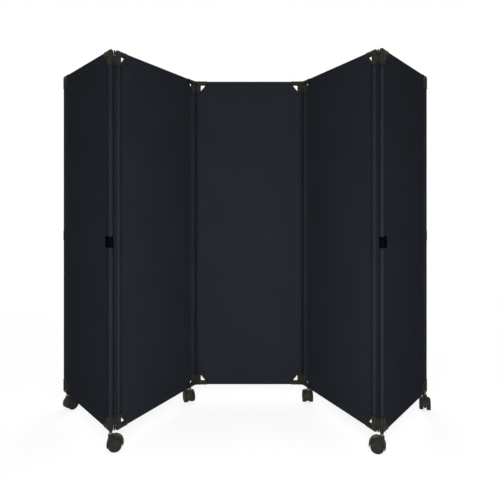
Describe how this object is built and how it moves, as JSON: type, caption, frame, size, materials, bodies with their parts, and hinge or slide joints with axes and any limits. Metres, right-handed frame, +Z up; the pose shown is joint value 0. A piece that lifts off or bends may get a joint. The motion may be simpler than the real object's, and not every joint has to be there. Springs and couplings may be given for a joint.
{
  "type": "folding privacy screen",
  "caption": "Folding ward privacy screen: dark fabric panels on tube frames, hinged in a zigzag through double-pivot corner links, standing on swivel casters.",
  "frame": {"origin": "on the floor, under the middle of the screen's box as it stands in the picture", "axes": "+Z up, +X to the right along the middle panel, -Y towards the viewer in front"},
  "size_m": [2.0084, 0.6014, 1.814],
  "materials": {
    "cover_fabric": "matte woven",
    "frame_tube": "satin",
    "bracket_plastic": "fine grain",
    "light_strip": "matte",
    "strap_webbing": "hook-and-loop pile",
    "caster_plastic": "satin",
    "wheel_tread": "worn matte"
  },
  "bodies": {
    "panel_3": {"panel_3_frame": "frame_tube", "panel_3_cover": "cover_fabric", "panel_3_bracket_bottom_left": "bracket_plastic", "panel_3_bracket_bottom_right": "bracket_plastic", "panel_3_bracket_top_left": "bracket_plastic", "panel_3_bracket_top_right": "bracket_plastic"},
    "panel_2": {"panel_2_frame": "frame_tube", "panel_2_cover": "cover_fabric", "panel_2_bracket_bottom_left": "bracket_plastic", "panel_2_bracket_bottom_right": "bracket_plastic", "panel_2_bracket_top_left": "bracket_plastic", "panel_2_bracket_top_right": "bracket_plastic"},
    "panel_4": {"panel_4_frame": "frame_tube", "panel_4_cover": "cover_fabric", "panel_4_bracket_bottom_left": "bracket_plastic", "panel_4_bracket_bottom_right": "bracket_plastic", "panel_4_bracket_top_left": "bracket_plastic", "panel_4_bracket_top_right": "bracket_plastic"},
    "panel_1": {"panel_1_frame": "frame_tube", "panel_1_cover": "cover_fabric", "panel_1_bracket_bottom_left": "bracket_plastic", "panel_1_bracket_bottom_right": "bracket_plastic", "panel_1_bracket_top_left": "bracket_plastic", "panel_1_bracket_top_right": "bracket_plastic", "panel_1_strap_left": "strap_webbing", "panel_1_strap_right": "strap_webbing"},
    "panel_5": {"panel_5_frame": "frame_tube", "panel_5_cover": "cover_fabric", "panel_5_bracket_bottom_left": "bracket_plastic", "panel_5_bracket_bottom_right": "bracket_plastic", "panel_5_bracket_top_left": "bracket_plastic", "panel_5_bracket_top_right": "bracket_plastic", "panel_5_strap_left": "strap_webbing", "panel_5_strap_right": "strap_webbing"},
    "hinge_23": {"hinge_23_link_bottom": "bracket_plastic", "hinge_23_link_top": "bracket_plastic", "hinge_23_light_strip": "light_strip"},
    "hinge_34": {"hinge_34_link_bottom": "bracket_plastic", "hinge_34_link_top": "bracket_plastic", "hinge_34_light_strip": "light_strip"},
    "hinge_12": {"hinge_12_link_bottom": "bracket_plastic", "hinge_12_link_top": "bracket_plastic", "hinge_12_light_strip": "light_strip"},
    "hinge_45": {"hinge_45_link_bottom": "bracket_plastic", "hinge_45_link_top": "bracket_plastic", "hinge_45_light_strip": "light_strip"},
    "caster_1_left": {"caster_1_left_hood": "caster_plastic"},
    "wheels_1_left": {"caster_1_left_wheels": "wheel_tread"},
    "caster_1_right": {"caster_1_right_hood": "caster_plastic"},
    "wheels_1_right": {"caster_1_right_wheels": "wheel_tread"},
    "caster_2_right": {"caster_2_right_hood": "caster_plastic"},
    "wheels_2_right": {"caster_2_right_wheels": "wheel_tread"},
    "caster_4_left": {"caster_4_left_hood": "caster_plastic"},
    "wheels_4_left": {"caster_4_left_wheels": "wheel_tread"},
    "caster_5_left": {"caster_5_left_hood": "caster_plastic"},
    "wheels_5_left": {"caster_5_left_wheels": "wheel_tread"},
    "caster_5_right": {"caster_5_right_hood": "caster_plastic"},
    "wheels_5_right": {"caster_5_right_wheels": "wheel_tread"}
  },
  "joints": [
    {"name": "pivot_3_left", "type": "hinge", "parent": "panel_3", "child": "hinge_23", "pos_m": [-0.27529, 0.28387, 0], "axis": [0, 0, 1], "range_deg": [-115.5, 54.5]},
    {"name": "pivot_2_right", "type": "hinge", "parent": "hinge_23", "child": "panel_2", "pos_m": [-0.30459, 0.26661, 0], "axis": [0, 0, 1], "range_deg": [-115.5, 54.5]},
    {"name": "pivot_2_left", "type": "hinge", "parent": "panel_2", "child": "hinge_12", "pos_m": [-0.58384, -0.23717, 0], "axis": [0, 0, -1], "range_deg": [-117, 53]},
    {"name": "pivot_1_right", "type": "hinge", "parent": "hinge_12", "child": "panel_1", "pos_m": [-0.61358, -0.25366, 0], "axis": [0, 0, -1], "range_deg": [-163, 7]},
    {"name": "pivot_3_right", "type": "hinge", "parent": "panel_3", "child": "hinge_34", "pos_m": [0.30071, 0.28387, 0], "axis": [0, 0, 1], "range_deg": [-53, 117]},
    {"name": "pivot_4_left", "type": "hinge", "parent": "hinge_34", "child": "panel_4", "pos_m": [0.32954, 0.26585, 0], "axis": [0, 0, 1], "range_deg": [-53, 117]},
    {"name": "pivot_4_right", "type": "hinge", "parent": "panel_4", "child": "hinge_45", "pos_m": [0.58204, -0.25186, 0], "axis": [0, 0, -1], "range_deg": [-53, 117]},
    {"name": "pivot_5_left", "type": "hinge", "parent": "hinge_45", "child": "panel_5", "pos_m": [0.61088, -0.26987, 0], "axis": [0, 0, -1], "range_deg": [-2, 168]},
    {"name": "swivel_1_left", "type": "hinge", "parent": "panel_1", "child": "caster_1_left", "pos_m": [-0.97178, 0.15842, 0], "axis": [0, 0, 1], "continuous": true},
    {"name": "roll_1_left", "type": "hinge", "parent": "caster_1_left", "child": "wheels_1_left", "pos_m": [-0.95893, 0.17374, 0.03], "axis": [-0.766, 0.6428, 0], "continuous": true},
    {"name": "swivel_1_right", "type": "hinge", "parent": "panel_1", "child": "caster_1_right", "pos_m": [-0.61358, -0.25366, 0], "axis": [0, 0, 1], "continuous": true},
    {"name": "roll_1_right", "type": "hinge", "parent": "caster_1_right", "child": "wheels_1_right", "pos_m": [-0.59401, -0.2495, 0.03], "axis": [-0.2079, 0.9781, 0], "continuous": true},
    {"name": "swivel_2_right", "type": "hinge", "parent": "panel_2", "child": "caster_2_right", "pos_m": [-0.31913, 0.24037, 0], "axis": [0, 0, 1], "continuous": true},
    {"name": "roll_2_right", "type": "hinge", "parent": "caster_2_right", "child": "wheels_2_right", "pos_m": [-0.32727, 0.25864, 0.03], "axis": [-0.9135, -0.4067, 0], "continuous": true},
    {"name": "swivel_4_left", "type": "hinge", "parent": "panel_4", "child": "caster_4_left", "pos_m": [0.34269, 0.23888, 0], "axis": [0, 0, 1], "continuous": true},
    {"name": "roll_4_left", "type": "hinge", "parent": "caster_4_left", "child": "wheels_4_left", "pos_m": [0.34269, 0.25888, 0.03], "axis": [-1, 0, 0], "continuous": true},
    {"name": "swivel_5_left", "type": "hinge", "parent": "panel_5", "child": "caster_5_left", "pos_m": [0.61088, -0.26987, 0], "axis": [0, 0, 1], "continuous": true},
    {"name": "roll_5_left", "type": "hinge", "parent": "caster_5_left", "child": "wheels_5_left", "pos_m": [0.59185, -0.26369, 0.03], "axis": [-0.309, -0.9511, 0], "continuous": true},
    {"name": "swivel_5_right", "type": "hinge", "parent": "panel_5", "child": "caster_5_right", "pos_m": [0.97336, 0.17776, 0], "axis": [0, 0, 1], "continuous": true},
    {"name": "roll_5_right", "type": "hinge", "parent": "caster_5_right", "child": "wheels_5_right", "pos_m": [0.96718, 0.15874, 0.03], "axis": [0.9511, -0.309, 0], "continuous": true}
  ]
}
